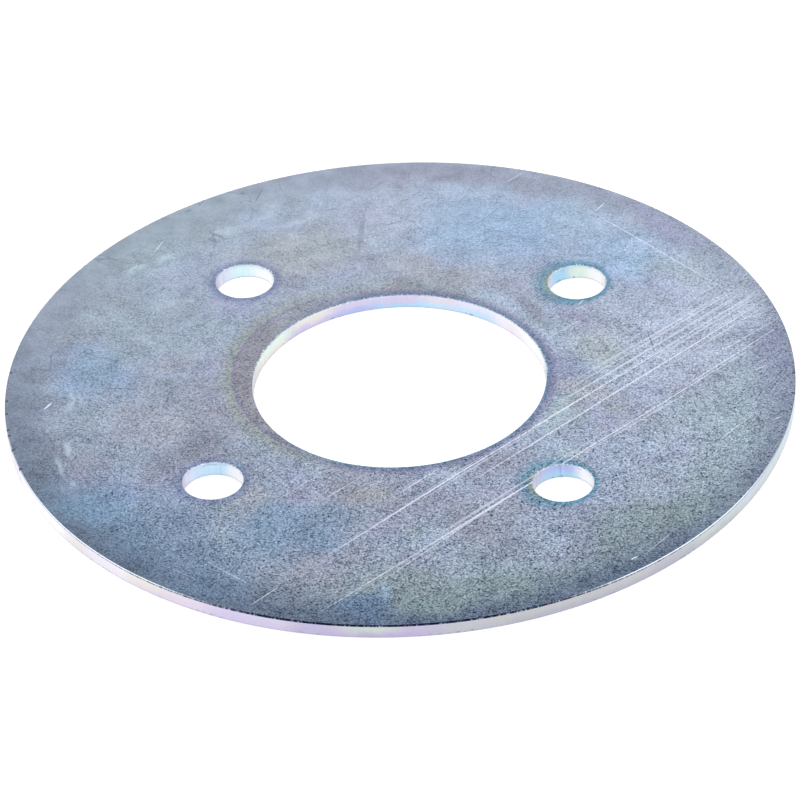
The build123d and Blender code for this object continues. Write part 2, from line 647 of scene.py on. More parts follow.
@dataclass(frozen=True)
class PlatedFace:
    """Sheet steel, zinc electroplated and clear passivated.

    Rolled sheet under a thin zinc coat gives a satin blue-grey metal with a fine worm-like
    grain, drawn a little coarser than the real one so that it shows. The passivated film
    adds weak clouds of sky blue, lilac and grey green, and it is darker round the holes.
    Along the rim the grain is smoother, and painted shade darkens a band there, most at the
    front. Painted light and shade also make the face lighter towards the back and right.

    Attributes:
        side: The face that it dresses.
        rim_radius_mm: Radius of the plate.
        bore_radius_mm: Radius of the central bore.
        hole_offset_mm: Distance of a bolt hole's centre from each axis.
        hole_radius_mm: Radius of a bolt hole.
    """

    side: Face
    rim_radius_mm: float
    bore_radius_mm: float
    hole_offset_mm: float
    hole_radius_mm: float
    roughness: float = 0.42
    roughness_swing: float = 0.25
    relief: float = 0.2
    lower_face_shift: tuple[float, float, float] = (311, 173, 59)
    scratch_wander: Wander = Wander(Pattern(45.0, 2.0), 1.2)
    stain_wander: Wander = Wander(Pattern(6.0, 3.0), 5.0)
    cloud_wander: Wander = Wander(Pattern(18.0, 5.0), 28.0)
    # film
    film_stops: Stops = (
        (0.30, "#A0A2B4"), (0.45, "#A2ADC1"), (0.55, "#A4B2C8"), (0.66, "#A2B3C0"), (0.78, "#A9B0B6"),
    )
    film_pattern: Pattern = Pattern(26.0, 3.0, 0.55)
    # painted light and shade across the face: lighter towards the back and right, darker towards the front
    # and left
    painted_shade_slope: Slope = Slope(1.0, 0.0012, 0.0018)
    lilac: str = "#A09FC0"
    lilac_pattern: Pattern = Pattern(15.0, 2.0, distortion=0.4)
    lilac_share: Fade = Fade(0.52, 0.72, high=0.55)
    cloud_fade: float = 0.8
    # painted shade in a band along the rim, darker towards the front
    rim_band_mm: Point = (14.0, 1.0)
    rim_shade_strength: float = 0.92
    rim_front: Fade = Fade(40.0, -58.0)
    rim_shade_back_tint: str = "#9DA7BA"
    rim_shade_front_tint: str = "#5F6F85"
    # print beside the bore, and the line along the bore's edge
    print_shift_mm: Point = (-4.2, 2.4)
    print_reach_mm: float = 6.0
    print_strength: float = 0.8
    print_stops: Stops = (
        (0.00, "#8E8D97"), (0.48, "#93929A"), (0.55, "#9AA39E"), (0.70, "#9BA5A5"), (0.86, "#A2ADB4"),
    )
    print_side: Slope = Slope(0.0, -0.9, -0.3)
    print_side_fade: Fade = Fade(4.0, 22.0)
    print_side_share: Fade = Fade(0.0, 1.0, 0.5)
    print_outline: Fade = Fade(0.55, 0.2, high=0.6)
    print_outline_tint: str = "#8A85AA"
    bore_line: Fade = Fade(0.0, 3.4, 0.9, 0.0)
    bore_line_right: Fade = Fade(-27.0, -8.0)
    bore_edge: Fade = Fade(0.3, 1.1)
    bore_edge_tint: str = "#628AA6"
    bore_line_tint: str = "#74749C"
    # burr along the back of the holes, bright as a painted highlight
    burr_pattern: Pattern = Pattern(0.45, 1.0)
    burr_width: Fade = Fade(0.42, 0.66, 0.1, 0.5)
    burr_back: Fade = Fade(0.0, 4.0, high=0.75)
    burr_highlight_tint: str = "#DCE8F4"
    # halos round the bolt holes, of the left ones and of the right ones
    halo_start_mm: float = 0.1
    left_halo_mm: float = 2.9
    right_halo_mm: Point = (4.8, 2.0)
    halo_strengths: Point = (0.7, 0.95)
    left_halo_tint: str = "#7280A8"
    right_halo_tint: str = "#5F92AE"
    olive_tint: str = "#98A188"
    olive_side: Fade = Fade(-2.5, -6.0)
    olive_edge: Fade = Fade(0.2, 1.7, 0.8, 0.0)
    # grain, where dark is bluer and bright whiter, so that red swings most
    grain_pattern: Pattern = Pattern(0.38, 2.0, 0.55, 0.8)
    grain_share: float = 0.84
    grain_middle: float = 0.413
    fibre_pattern: Pattern = Pattern(1.3, 1.0, distortion=0.6)
    fibre_depth: Fade = Fade(0.0, 0.09, -0.085, 0.025)
    grain_swing: tuple[float, float, float] = (1.18, 1.03, 0.86)
    grain_depth: Slope = Slope(3.07, 0.0080, -0.0245)
    rim_grain_depth: Slope = Slope(2.45, 0.0140, -0.0225)
    mottle_pattern: Pattern = Pattern(6.0, 4.0, 0.62)
    mottle: Fade = Fade(0.25, 0.75, 0.79, 1.21)
    # marks of use
    scratch_tint: str = "#F0F2FF"
    scratch_fade: float = 0.16
    scratch_depth: float = -0.6
    dash_swing: float = 1.8
    dash_level: float = 0.88
    hairline_tint: str = "#D8E3F6"
    hairline_mm: Point = (60.0, 0.62)
    hairline_detail: float = 1.0
    hairline_turn: float = math.radians(47.2)
    hairline_crest: Fade = Fade(0.56, 0.64)
    sheaf_fade: float = 0.6
    scuff_tint: str = "#4C5468"
    scuff_fade: float = 0.6
    curl_pattern: Pattern = Pattern(18.0, 3.0, distortion=1.0)
    curl_width: float = 0.003
    curl_strength: float = 0.3
    stain_tint: str = "#C6DCE8"
    stain_fade: float = 0.9
    nick_tint: str = "#1E2638"
    nick_size_mm: Point = (0.8, 0.7)
    nick_strength: float = 0.85

    def places(self, tree: NodeTree) -> Places:
        """Set up the face's coordinates.

        Args:
            tree: The material's node tree.

        Returns:
            The coordinates.
        """
        spot = add_node(tree, "TexCoord", output="Object")
        flat = add_node(tree, "VectorMath", {0: spot, 1: (PER_MM, PER_MM, 0)}, operation="MULTIPLY")
        apart = (0, 0, 0) if self.side is Face.UPPER else self.lower_face_shift
        shifted = add_node(tree, "VectorMath", {0: flat, 1: apart}, operation="ADD")
        moved = []
        for pattern, reach_mm in (self.scratch_wander, self.stain_wander, self.cloud_wander):
            noise = add_node(tree, "TexNoise", pattern.at(shifted), "Color")
            swing = add_node(tree, "VectorMath", {0: noise, 1: (NOISE_MIDDLE,) * 3}, operation="SUBTRACT")
            inputs = {0: swing, 1: (reach_mm, reach_mm, 0), 2: flat}
            moved.append(add_node(tree, "VectorMath", inputs, operation="MULTIPLY_ADD"))
        return Places(flat, *moved, shifted)

    def film(self, tree: NodeTree, places: Places) -> NodeSocket:
        """Colour of the passivated film: slow clouds of blue grey, with lilac over them.

        Args:
            tree: The material's node tree.
            places: Coordinates on the face.

        Returns:
            The film's colour, with painted light and shade: lighter towards the back and right, darker
            towards the front and left.
        """
        noise = add_node(tree, "TexNoise", self.film_pattern.at(places.shifted))
        colour = add_node(tree, "ValToRGB", {0: noise}, stops=self.film_stops)
        # painted light and shade: the film's colour is scaled lighter towards the back and right and darker
        # towards the front and left
        slope = self.painted_shade_slope.at(tree, places.flat)
        colour = add_node(tree, "VectorMath", {0: colour, "Scale": slope}, operation="SCALE")
        tinge = add_node(tree, "TexNoise", self.lilac_pattern.at(places.shifted))
        return paint(tree, colour, [(add_node(tree, "MapRange", self.lilac_share.of(tinge)), self.lilac)])

    def clouds(self, tree: NodeTree, places: Places) -> list[Layer]:
        """Coats for the larger clouds in the film, which only the upper face shows.

        Args:
            tree: The material's node tree.
            places: Coordinates on the face.

        Returns:
            Share and tint of each cloud.
        """
        coats = []
        for middle, half_size, degrees, tint, strength in CLOUDS if self.side is Face.UPPER else ():
            turn = math.radians(degrees)
            share = oval_share(tree, places.loose, middle, half_size, turn, self.cloud_fade, strength)
            coats.append((share, tint.value))
        return coats

    def rim_band(self, tree: NodeTree, places: Places) -> tuple[NodeSocket, Layer]:
        """Coat for the band along the rim, where the grain is calmer: painted shade, darker towards the
        front.

        Args:
            tree: The material's node tree.
            places: Coordinates on the face.

        Returns:
            How far a place is inside the band, and the coat's share and tint.
        """
        radius = add_node(tree, "VectorMath", {0: places.ragged}, "Value", operation="LENGTH")
        edges = Fade(*(self.rim_radius_mm - width for width in self.rim_band_mm))
        band = add_node(tree, "MapRange", edges.of(radius), **SMOOTH)
        # painted shade along the rim: a lighter tint at the back, a darker one towards the front
        y_mm = add_node(tree, "SeparateXYZ", {0: places.flat}, "Y")
        front = add_node(tree, "MapRange", self.rim_front.of(y_mm))
        tint = paint(tree, self.rim_shade_back_tint, [(front, self.rim_shade_front_tint)])
        return band, (overlap(tree, band, self.rim_shade_strength), tint)

    def bore_halo(self, tree: NodeTree, places: Places) -> list[Layer]:
        """Coats round the bore: a brown print that lies off centre, and a blue line along the edge.

        The print is a disc of the bore's radius, shifted to the back left, with an olive
        fringe and, on its left, a thin violet outline. The blue line fades out on the left.

        Args:
            tree: The material's node tree.
            places: Coordinates on the face.

        Returns:
            Share and tint of each coat.
        """
        left = add_node(tree, "MapRange", self.print_side_fade.of(self.print_side.at(tree, places.flat)))
        beyond = add_node(tree, "VectorMath", {0: places.straight, 1: (*self.print_shift_mm, 0)}, "Value",
                          operation="DISTANCE")
        beyond = add_node(tree, "Math", {0: beyond, 1: self.bore_radius_mm}, operation="SUBTRACT")
        step = add_node(tree, "MapRange", Fade(-self.print_reach_mm, self.print_reach_mm).of(beyond))
        tint = add_node(tree, "ValToRGB", {0: step}, stops=self.print_stops)
        fading = Fade(0.0, self.print_reach_mm, self.print_strength, 0.0)
        share = add_node(tree, "MapRange", fading.of(beyond), **SMOOTH)
        share = overlap(tree, share, add_node(tree, "MapRange", self.print_side_share.of(left)))
        outline = add_node(tree, "Math", {0: beyond}, operation="ABSOLUTE")
        outline = overlap(tree, add_node(tree, "MapRange", self.print_outline.of(outline)), left)

        gap = add_node(tree, "VectorMath", {0: places.straight}, "Value", operation="LENGTH")
        gap = add_node(tree, "Math", {0: gap, 1: self.bore_radius_mm}, operation="SUBTRACT")
        line = add_node(tree, "MapRange", self.bore_line.of(gap), **SMOOTH)
        x_mm = add_node(tree, "SeparateXYZ", {0: places.flat}, "X")
        line = overlap(tree, line, add_node(tree, "MapRange", self.bore_line_right.of(x_mm)))
        away = add_node(tree, "MapRange", self.bore_edge.of(gap))
        line_tint = paint(tree, self.bore_edge_tint, [(away, self.bore_line_tint)])
        behind = add_node(tree, "SeparateXYZ", {0: places.flat}, "Y")
        burr = self.burr(tree, places, gap, behind)
        return [(share, tint), (outline, self.print_outline_tint), (line, line_tint), burr]

    def burr(self, tree: NodeTree, places: Places, gap: NodeSocket, behind: NodeSocket) -> Layer:
        """Coat for the ragged burr along the back of a hole's edge, bright there as a painted highlight.

        Args:
            tree: The material's node tree.
            places: Coordinates on the face.
            gap: Distance from the hole's edge.
            behind: Distance behind the hole's centre.

        Returns:
            The coat's share and tint.
        """
        ragged = add_node(tree, "TexNoise", self.burr_pattern.at(places.flat))
        width = add_node(tree, "MapRange", self.burr_width.of(ragged))
        edge = add_node(tree, "Math", {0: gap, 1: width}, operation="LESS_THAN")
        # a burr with a painted highlight: bright only behind the hole's centre
        return overlap(tree, edge, add_node(tree, "MapRange", self.burr_back.of(behind))), self.burr_highlight_tint

    def hole_halos(self, tree: NodeTree, places: Places) -> list[Layer]:
        """Coats round the bolt holes: violet on the left ones, teal with olive on the right ones.

        The nearest hole is found by folding the face on to one quarter. The halos of the
        right holes are wider towards the bore.

        Args:
            tree: The material's node tree.
            places: Coordinates on the face.

        Returns:
            Share and tint of each coat.
        """
        quarter = add_node(tree, "VectorMath", {0: places.straight}, operation="ABSOLUTE")
        centre = (self.hole_offset_mm, self.hole_offset_mm, 0)
        away = add_node(tree, "VectorMath", {0: quarter, 1: centre}, operation="SUBTRACT")
        gap = add_node(tree, "VectorMath", {0: away}, "Value", operation="LENGTH")
        gap = add_node(tree, "Math", {0: gap, 1: self.hole_radius_mm}, operation="SUBTRACT")
        outwards = add_node(tree, "SeparateXYZ", {0: away}, "X")
        x_mm = add_node(tree, "SeparateXYZ", {0: places.straight}, "X")
        right = add_node(tree, "Math", {0: x_mm, 1: 0.0}, operation="GREATER_THAN")

        wide = Fade(-self.hole_radius_mm, self.hole_radius_mm, *self.right_halo_mm)
        wide = add_node(tree, "MapRange", wide.of(outwards))
        reach = add_node(tree, "MapRange", Fade(0.0, 1.0, self.left_halo_mm, wide).of(right))
        full = add_node(tree, "MapRange", Fade(0.0, 1.0, *self.halo_strengths).of(right))
        share = add_node(tree, "MapRange", Fade(self.halo_start_mm, reach, full, 0.0).of(gap), **SMOOTH)
        side = add_node(tree, "MapRange", self.olive_side.of(outwards))
        olive = overlap(tree, side, add_node(tree, "MapRange", self.olive_edge.of(gap)), right)
        tint = paint(tree, self.left_halo_tint, [(right, self.right_halo_tint), (olive, self.olive_tint)])

        y_mm = add_node(tree, "SeparateXYZ", {0: places.flat}, "Y")
        back_half = add_node(tree, "Math", {0: y_mm}, operation="SIGN")
        behind = overlap(tree, add_node(tree, "SeparateXYZ", {0: away}, "Y"), back_half)
        return [(share, tint), self.burr(tree, places, gap, behind)]

    def grain(self, tree: NodeTree, places: Places, band: NodeSocket) -> tuple[NodeSocket, NodeSocket]:
        """Worm-like grain of the rolled sheet: deep at the front right, faint at the back left.

        Dark worms, where a slower noise crosses its middle value, lie on a fine noise.

        Args:
            tree: The material's node tree.
            places: Coordinates on the face.
            band: How far a place is inside the rim band, where back and left are calmer.

        Returns:
            The grain about nought, and the colour factor that it gives.
        """
        fibres = add_node(tree, "TexNoise", self.fibre_pattern.at(places.shifted))
        fibres = add_node(tree, "Math", {0: fibres, 1: NOISE_MIDDLE}, operation="SUBTRACT")
        fibres = add_node(tree, "Math", {0: fibres}, operation="ABSOLUTE")
        fibres = add_node(tree, "MapRange", self.fibre_depth.of(fibres), **SMOOTH)
        worms = add_node(tree, "TexNoise", self.grain_pattern.at(places.shifted))
        worms = add_node(tree, "Math", {0: worms, 1: self.grain_share, 2: fibres}, operation="MULTIPLY_ADD")
        worms = add_node(tree, "Math", {0: worms, 1: self.grain_middle}, operation="SUBTRACT")
        depths = (slope.at(tree, places.flat) for slope in (self.grain_depth, self.rim_grain_depth))
        depth = add_node(tree, "MapRange", Fade(0.0, 1.0, *depths).of(band))
        swing = overlap(tree, worms, depth)
        swing = add_node(tree, "VectorMath", {0: self.grain_swing, "Scale": swing}, operation="SCALE")
        mottle = add_node(tree, "TexNoise", self.mottle_pattern.at(places.shifted))
        mottle = add_node(tree, "MapRange", self.mottle.of(mottle))
        return worms, add_node(tree, "VectorMath", {0: swing, 1: mottle}, operation="ADD")

    def marks(self, tree: NodeTree, place: NodeSocket, streaks: tuple[Streak, ...],
              fade: float) -> NodeSocket:
        """Cover all the streaks of one kind.

        Args:
            tree: The material's node tree.
            place: Place on the face.
            streaks: The marks to draw.
            fade: Share of the half width over which a mark fades.

        Returns:
            The sum of the streaks' covers.
        """
        total = streaks[0].share(tree, place, fade)
        for streak in streaks[1:]:
            total = add_node(tree, "Math", {0: total, 1: streak.share(tree, place, fade)}, operation="ADD")
        return total

    def hairlines(self, tree: NodeTree, places: Places) -> NodeSocket:
        """Cover the sheaves of hairlines along the long scratches.

        The lines are the crests of a noise that is stretched along them, inside each oval.

        Args:
            tree: The material's node tree.
            places: Coordinates on the face.

        Returns:
            The hairlines' cover.
        """
        turn = self.hairline_turn
        stretched = add_node(tree, "Mapping", {
            "Vector": places.straight, "Rotation": (0, 0, turn), "Scale": (*self.hairline_mm, 1),
        }, vector_type="TEXTURE")
        crest = add_node(tree, "TexNoise", Pattern(1.0, self.hairline_detail).at(stretched))
        total, *shares = (
            oval_share(tree, places.straight, middle, half_size, turn, self.sheaf_fade, strength)
            for middle, half_size, strength in SHEAVES
        )
        for share in shares:
            total = add_node(tree, "Math", {0: total, 1: share}, operation="MAXIMUM")
        return overlap(tree, add_node(tree, "MapRange", self.hairline_crest.of(crest)), total)

    def wear(self, tree: NodeTree, places: Places, worms: NodeSocket) -> tuple[NodeSocket, list[Layer]]:
        """Coats for the marks of use on the upper face.

        They are stains, dark curls where a slow noise crosses its middle value, scuffs, nicks
        in the rim, hairlines, and scratches that the grain breaks up into bright dashes.

        Args:
            tree: The material's node tree.
            places: Coordinates on the face.
            worms: The grain.

        Returns:
            Cover of the scratches, and share and tint of each coat.
        """
        dashes = add_node(tree, "Math", {0: worms, 1: self.dash_swing, 2: self.dash_level},
                          operation="MULTIPLY_ADD")
        scratch = overlap(tree, self.marks(tree, places.straight, SCRATCHES, self.scratch_fade), dashes)
        curls = add_node(tree, "TexNoise", self.curl_pattern.at(places.shifted))
        curls = add_node(tree, "Math", {0: curls, 1: NOISE_MIDDLE, 2: self.curl_width}, operation="COMPARE")
        nick_length_mm, nick_width_mm = self.nick_size_mm
        nick_ends = (self.rim_radius_mm, self.rim_radius_mm - nick_length_mm)
        nicks = tuple(
            Streak(*((radius * math.cos(turn), radius * math.sin(turn)) for radius in nick_ends),
                   nick_width_mm, self.nick_strength)
            for turn in map(math.radians, RIM_NICKS)
        )
        return scratch, [
            (self.marks(tree, places.ragged, DRIP_STAINS, self.stain_fade), self.stain_tint),
            (overlap(tree, curls, self.curl_strength), self.scuff_tint),
            (self.marks(tree, places.straight, DARK_SCUFFS, self.scuff_fade), self.scuff_tint),
            (self.marks(tree, places.flat, nicks, self.scuff_fade), self.nick_tint),
            (self.hairlines(tree, places), self.hairline_tint),
            (scratch, self.scratch_tint),
        ]

    def material(self) -> Material:
        """Make the face's material.

        Returns:
            A satin metal whose colour, roughness and relief come from its place on the face.
        """
        material = new_metal(f"zinc_plated_sheet_{self.side.value}_face")
        tree = material.node_tree
        places = self.places(tree)
        band, rim_shade_layer = self.rim_band(tree, places)
        worms, factor = self.grain(tree, places, band)
        colour = paint(tree, self.film(tree, places), [
            rim_shade_layer, *self.clouds(tree, places),
            *self.bore_halo(tree, places), *self.hole_halos(tree, places),
        ])
        colour = add_node(tree, "VectorMath", {0: colour, 1: factor}, operation="MULTIPLY")
        height = worms
        if self.side is Face.UPPER:
            scratch, coats = self.wear(tree, places, worms)
            colour = paint(tree, colour, coats)
            height = add_node(tree, "Math", {0: scratch, 1: self.scratch_depth, 2: worms},
                              operation="MULTIPLY_ADD")
        roughness = add_node(tree, "Math", {0: worms, 1: self.roughness_swing, 2: self.roughness},
                             operation="MULTIPLY_ADD")
        join_finish(tree, colour, roughness, height, self.relief)
        return material


@dataclass(frozen=True)
class CutEdge:
    """The sheet's cut edge, zinc plated and passivated.

    The cut leaves fine upright drag lines. On its brighter metal the passivated film shows
    as pale bands of cream, pink, lilac, sky blue and mint. The rim's rounded lip is smooth;
    its colour is painted light and shade: a painted highlight at the front left and right,
    painted shade at the back, and fine dark teeth of painted reflection that close up into
    a broken line along the front.

    Attributes:
        thickness_mm: Thickness of the sheet.
        rim_radius_mm: Radius of the plate.
    """

    thickness_mm: float
    rim_radius_mm: float
    roughness: float = 0.32
    lip_roughness: float = 0.2
    relief: float = 0.1
    # drag lines: width, and length up the cut
    drag_line_mm: float = 0.4
    drag_length_mm: float = 8.0
    drag_detail: float = 2.0
    drag_shade: Fade = Fade(0.3, 0.7, 0.972, 1.016)
    # film
    film_stops: Stops = (
        (0.25, "#D8D8D0"), (0.40, "#D6CCD8"), (0.50, "#CAC4DE"), (0.60, "#C0CCE2"), (0.75, "#D0DCDC"),
    )
    film_pattern: Pattern = Pattern(9.0, 1.5)
    film_lean: float = -0.15
    film_wander: Pattern = Pattern(3.0, 2.0)
    film_rise: Fade = Fade(0.15, 0.75)
    stretch_fade: float = 0.7
    # foot of the cut
    foot_line: Fade = Fade(0.32, 0.18, high=0.5)
    foot_tint: str = "#A8A8C4"
    speck_pattern: Pattern = Pattern(0.5, 0.0)
    speck_groups: Pattern = Pattern(9.0, 0.0)
    speck_gather: float = 0.6
    speck_share: Fade = Fade(1.0, 1.1, high=0.5)
    speck_height: Fade = Fade(0.55, 0.35)
    speck_tint: str = "#5E6072"
    # lip of the rim: cap with painted highlight and shade, belt of painted shade under it, and depth of the
    # nicks' dark spots
    rim_zone_mm: float = 5.0
    cap_mm: Point = (0.18, 0.12)
    belt_mm: Point = (0.46, 0.38)
    notch_mm: Point = (0.75, 0.35)
    lip_front: Fade = Fade(-10.0, -40.0)
    lip_back_shade_tint: str = "#5E6A7C"
    lip_highlight_tint: str = "#E4EEFA"
    lip_centre_reflection_tint: str = "#66748E"
    lip_centre: Fade = Fade(0.82, 0.95)
    belt_shade_tint: str = "#8E9AC4"
    belt_strength: float = 0.7
    nick_reach_mm: float = 0.6
    nick_fade: float = 0.6
    nick_strength: float = 0.85
    # painted dark reflection along the lip, in teeth that close up towards the middle of the front
    front: Point = (0.04, -1.0)
    tooth_pattern: Pattern = Pattern(0.55, 3.0, 0.7)
    tooth_closing: Fade = Fade(0.5, 0.97, 0.03, 0.29)
    tooth_edge: Fade = Fade(0.64, 0.76)
    dark_tint: str = "#141E34"
    # ragged burr at the top of the holes' walls, bright as a painted highlight
    burr_pattern: Pattern = Pattern(0.4, 1.0)
    burr_share: Fade = Fade(0.46, 0.56, high=0.9)
    burr_mm: Point = (0.3, 0.2)
    burr_highlight_tint: str = "#D4E2F4"

    def film(self, tree: NodeTree, place: NodeSocket, flat: NodeSocket, height: NodeSocket) -> NodeSocket:
        """Colour of the film: stretches along the edge that shift from the top of the cut to its foot.

        Args:
            tree: The material's node tree.
            place: Place in the plate's frame.
            flat: The same seen from above.
            height: Height above the lower face.

        Returns:
            The film's colour.
        """
        wander = add_node(tree, "TexNoise", self.film_wander.at(place))
        rise = add_node(tree, "Math", {0: height, 1: 1 / self.thickness_mm, 2: -NOISE_MIDDLE},
                        operation="MULTIPLY_ADD")
        rise = add_node(tree, "Math", {0: wander, 1: rise}, operation="ADD")
        rise = add_node(tree, "MapRange", self.film_rise.of(rise), **SMOOTH)
        noise = add_node(tree, "TexNoise", self.film_pattern.at(flat))
        noise = add_node(tree, "Math", {0: rise, 1: self.film_lean, 2: noise}, operation="MULTIPLY_ADD")
        coats = []
        for middle, reach_mm, upper, lower, strength in EDGE_FILMS:
            share = oval_share(tree, flat, middle, (reach_mm, reach_mm), 0.0, self.stretch_fade, strength)
            coats.append((share, paint(tree, lower.value, [(rise, upper.value)])))
        return paint(tree, add_node(tree, "ValToRGB", {0: noise}, stops=self.film_stops), coats)

    def foot(self, tree: NodeTree, place: NodeSocket, height: NodeSocket) -> list[Layer]:
        """Coats for the foot of the cut: a thin violet line, and dark specks of the breakout along it.

        Args:
            tree: The material's node tree.
            place: Place in the plate's frame.
            height: Height above the lower face.

        Returns:
            Share and tint of each coat.
        """
        line = add_node(tree, "MapRange", self.foot_line.of(height))
        specks = add_node(tree, "TexNoise", self.speck_pattern.at(place))
        groups = add_node(tree, "TexNoise", self.speck_groups.at(place))
        specks = add_node(tree, "Math", {0: groups, 1: self.speck_gather, 2: specks},
                          operation="MULTIPLY_ADD")
        specks = add_node(tree, "MapRange", self.speck_share.of(specks))
        specks = overlap(tree, specks, add_node(tree, "MapRange", self.speck_height.of(height)))
        return [(line, self.foot_tint), (specks, self.speck_tint)]

    def upper_band(self, tree: NodeTree, height: NodeSocket, depth_mm: Point) -> NodeSocket:
        """Cover the top of the cut.

        Args:
            tree: The material's node tree.
            height: Height above the lower face.
            depth_mm: Depths under the upper face at which the cover starts and is full.

        Returns:
            The band's cover.
        """
        edges = Fade(*(self.thickness_mm - depth for depth in depth_mm))
        return add_node(tree, "MapRange", edges.of(height))

    def teeth(self, tree: NodeTree, flat: NodeSocket) -> tuple[NodeSocket, NodeSocket]:
        """Cover the dark teeth of painted reflection along the rim, few at the sides and closing up towards
        the front.

        Args:
            tree: The material's node tree.
            flat: Place seen from above.

        Returns:
            The teeth's cover, and the cosine of a place's angle from the middle of the front.
        """
        heading = Slope(0.0, *(part / self.rim_radius_mm for part in self.front)).at(tree, flat)
        closing = add_node(tree, "MapRange", self.tooth_closing.of(heading))
        teeth = add_node(tree, "TexNoise", self.tooth_pattern.at(flat))
        teeth = add_node(tree, "Math", {0: teeth, 1: closing}, operation="ADD")
        return add_node(tree, "MapRange", self.tooth_edge.of(teeth)), heading

    def lip(self, tree: NodeTree, flat: NodeSocket, height: NodeSocket) -> tuple[NodeSocket, list[Layer]]:
        """Coats for the top of the cut.

        On the rim they are painted light and shade on the metal: a painted highlight at the front
        left and right, painted shade at the back and in a belt under the cap at the front, and
        dark teeth of painted reflection, with a dark spot in each nick. On the walls of the holes
        they are a ragged burr, bright as a painted highlight.

        Args:
            tree: The material's node tree.
            flat: Place seen from above.
            height: Height above the lower face.

        Returns:
            Cover of the rim's smooth cap, and share and tint of each coat.
        """
        radius = add_node(tree, "VectorMath", {0: flat}, "Value", operation="LENGTH")
        zone_start = self.rim_radius_mm - self.rim_zone_mm
        outer = add_node(tree, "Math", {0: radius, 1: zone_start}, operation="GREATER_THAN")
        cap, belt, notch = (
            overlap(tree, self.upper_band(tree, height, depth_mm), outer)
            for depth_mm in (self.cap_mm, self.belt_mm, self.notch_mm)
        )
        belt = add_node(tree, "Math", {0: belt, 1: cap}, operation="SUBTRACT")
        teeth, heading = self.teeth(tree, flat)
        centre = add_node(tree, "MapRange", self.lip_centre.of(heading))
        toothed = add_node(tree, "Math", {0: cap, 1: centre, 2: belt}, operation="MULTIPLY_ADD")
        y_mm = add_node(tree, "SeparateXYZ", {0: flat}, "Y")
        front = add_node(tree, "MapRange", self.lip_front.of(y_mm))
        # painted light on the cap: a painted highlight at the front, painted shade at the back, and a
        # painted dark reflection in the middle of the front
        tints = [(front, self.lip_highlight_tint), (centre, self.lip_centre_reflection_tint)]

        inner = add_node(tree, "Math", {0: 1.0, 1: outer}, operation="SUBTRACT")
        # ragged burr at the top of the holes' walls, bright as a painted highlight
        burr = add_node(tree, "TexNoise", self.burr_pattern.at(flat))
        burr = add_node(tree, "MapRange", self.burr_share.of(burr))
        burr = overlap(tree, burr, self.upper_band(tree, height, self.burr_mm), inner)
        coats = [
            (cap, paint(tree, self.lip_back_shade_tint, tints)),
            # painted shade in the belt under the cap, at the front
            (overlap(tree, belt, front, self.belt_strength), self.belt_shade_tint),
            (burr, self.burr_highlight_tint),
            # dark teeth of painted reflection along the lip
            (overlap(tree, teeth, toothed), self.dark_tint),
        ]
        reach = (self.nick_reach_mm, self.nick_reach_mm)
        for turn in map(math.radians, RIM_NICKS):
            middle = (self.rim_radius_mm * math.cos(turn), self.rim_radius_mm * math.sin(turn))
            nick = oval_share(tree, flat, middle, reach, 0.0, self.nick_fade, self.nick_strength)
            coats.append((overlap(tree, nick, notch), self.dark_tint))
        return cap, coats

    def material(self) -> Material:
        """Make the edge's material.

        Returns:
            A pale metal with upright lines, film colours, and a smooth lip that carries painted light and
            shade.
        """
        material = new_metal("zinc_plated_cut_edge")
        tree = material.node_tree
        spot = add_node(tree, "TexCoord", output="Object")
        place = add_node(tree, "VectorMath", {0: spot, "Scale": PER_MM}, operation="SCALE")
        flat = add_node(tree, "VectorMath", {0: place, 1: (1, 1, 0)}, operation="MULTIPLY")
        height = add_node(tree, "SeparateXYZ", {0: place}, "Z")
        lines = (1 / self.drag_line_mm, 1 / self.drag_line_mm, 1 / self.drag_length_mm)
        stretched = add_node(tree, "VectorMath", {0: place, 1: lines}, operation="MULTIPLY")
        drag = add_node(tree, "TexNoise", Pattern(1.0, self.drag_detail).at(stretched))
        shade = add_node(tree, "MapRange", self.drag_shade.of(drag))
        film = self.film(tree, place, flat, height)
        colour = add_node(tree, "VectorMath", {0: film, "Scale": shade}, operation="SCALE")
        bright, lip_coats = self.lip(tree, flat, height)
        colour = paint(tree, colour, [*self.foot(tree, place, height), *lip_coats])
        smoother = Fade(0.0, 1.0, self.roughness, self.lip_roughness)
        roughness = add_node(tree, "MapRange", smoother.of(bright))
        join_finish(tree, colour, roughness, drag, self.relief)
        return material


def grid_quads(rows: int, columns: int, first: int) -> np.ndarray:
    """Number the quads of a grid whose columns close round.

    Args:
        rows: Points down the grid.
        columns: Points round it.
        first: Number of the grid's first point in the mesh.

    Returns:
        Four point numbers for each quad.
    """
    row = np.arange(rows - 1)[:, None] * columns
    left = np.arange(columns)[None, :]
    right = (left + 1) % columns
    quads = np.stack([row + left, row + columns + left, row + columns + right, row + right], axis=-1)
    return quads.reshape(-1, 4) + first


def ripple(angles: np.ndarray, slowest: int, fastest: int, seed: int) -> np.ndarray:
    """Rough line round a circle: a sum of cosines of whole-number pitch with random phases.

    Args:
        angles: Angles round the circle.
        slowest: Fewest waves round it.
        fastest: Most waves round it.
        seed: Seed of the phases.

    Returns:
        One height for each angle, with a spread of one.
    """
    waves = np.arange(slowest, fastest)
    phases = np.random.default_rng(seed).uniform(0, 2 * np.pi, len(waves))
    return np.cos(np.outer(angles, waves) + phases).sum(axis=1) * math.sqrt(2 / len(waves))


@dataclass(frozen=True)
class Lips:
    """Rounding of a rim's two edges.

    Attributes:
        upper: Radius at the upper face.
        lower: Radius at the lower face.
        steps: Faces round each lip.
        burr: Spread of the fine burr on the lips.
        wall_burr: Share of the burr that the wall has.
        lower_burr: Share of the burr that the lower lip has.
        burr_range: How many times its longest wave is the finest one.
    """

    upper: float
    lower: float
    steps: int
    burr: float
    wall_burr: float = 0.25
    lower_burr: float = 0.5
    burr_range: int = 4


